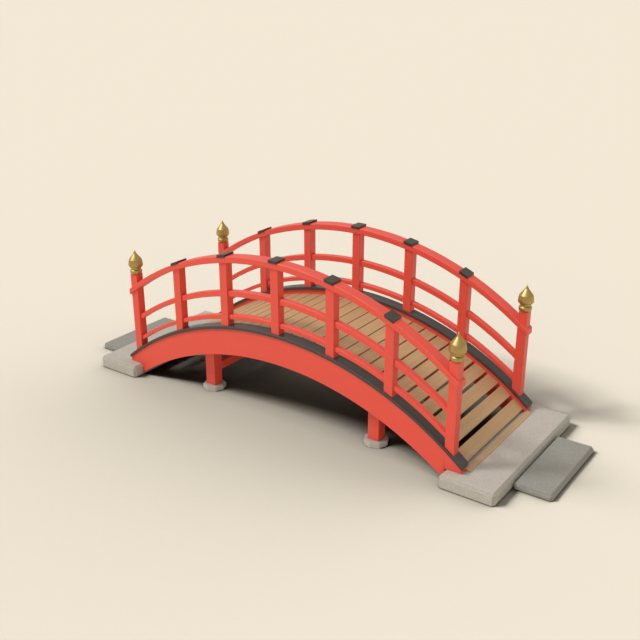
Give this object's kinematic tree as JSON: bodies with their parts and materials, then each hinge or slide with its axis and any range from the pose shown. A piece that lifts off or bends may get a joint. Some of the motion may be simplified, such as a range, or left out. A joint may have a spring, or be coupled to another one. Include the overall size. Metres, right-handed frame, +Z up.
{
  "type": "moon bridge",
  "caption": "Arched timber garden footbridge with curved railings, capped end posts, a planked deck on low piers, and stone end slabs with lower steps.",
  "frame": {"origin": "on the ground, at the centre of the bridge's footprint, under the crown of the arch", "axes": "+X runs along the bridge towards its right-hand end, +Y runs across it towards the back railing, +Z is up"},
  "size_m": [7.536, 2.356, 2.2919],
  "materials": {
    "vermilion_lacquer": "satin",
    "dark_lacquer": "satin",
    "dark_metal": "satin",
    "deck_timber": "matte",
    "finial_brass": "satin",
    "pale_stone": "matte",
    "grey_stone": "matte"
  },
  "bodies": {
    "root": {"girder_front": "vermilion_lacquer", "girder_back": "vermilion_lacquer", "handrail_front": "vermilion_lacquer", "handrail_back": "vermilion_lacquer", "mid_rail_front": "vermilion_lacquer", "mid_rail_back": "vermilion_lacquer", "low_rail_front": "vermilion_lacquer", "low_rail_back": "vermilion_lacquer", "rail_post_front_1": "vermilion_lacquer", "rail_post_front_2": "vermilion_lacquer", "rail_post_front_3": "vermilion_lacquer", "rail_post_front_4": "vermilion_lacquer", "rail_post_front_5": "vermilion_lacquer", "rail_post_back_1": "vermilion_lacquer", "rail_post_back_2": "vermilion_lacquer", "rail_post_back_3": "vermilion_lacquer", "rail_post_back_4": "vermilion_lacquer", "rail_post_back_5": "vermilion_lacquer", "end_post_front_left": "vermilion_lacquer", "end_post_front_right": "vermilion_lacquer", "end_post_back_left": "vermilion_lacquer", "end_post_back_right": "vermilion_lacquer", "pier_post_front_left": "vermilion_lacquer", "pier_post_front_right": "vermilion_lacquer", "pier_post_back_left": "vermilion_lacquer", "pier_post_back_right": "vermilion_lacquer", "pier_braces": "vermilion_lacquer", "pier_crossheads": "vermilion_lacquer", "deck_ledgers": "vermilion_lacquer", "curb_cap_front": "dark_lacquer", "curb_cap_back": "dark_lacquer", "rail_plates": "dark_metal", "deck_planks": "deck_timber", "deck_nosings": "deck_timber", "finial_front_left": "finial_brass", "finial_front_right": "finial_brass", "finial_back_left": "finial_brass", "finial_back_right": "finial_brass", "abutment_slab_left": "pale_stone", "abutment_slab_right": "pale_stone", "pier_footings": "pale_stone", "step_slab_left": "grey_stone", "step_slab_right": "grey_stone"}
  },
  "joints": []
}
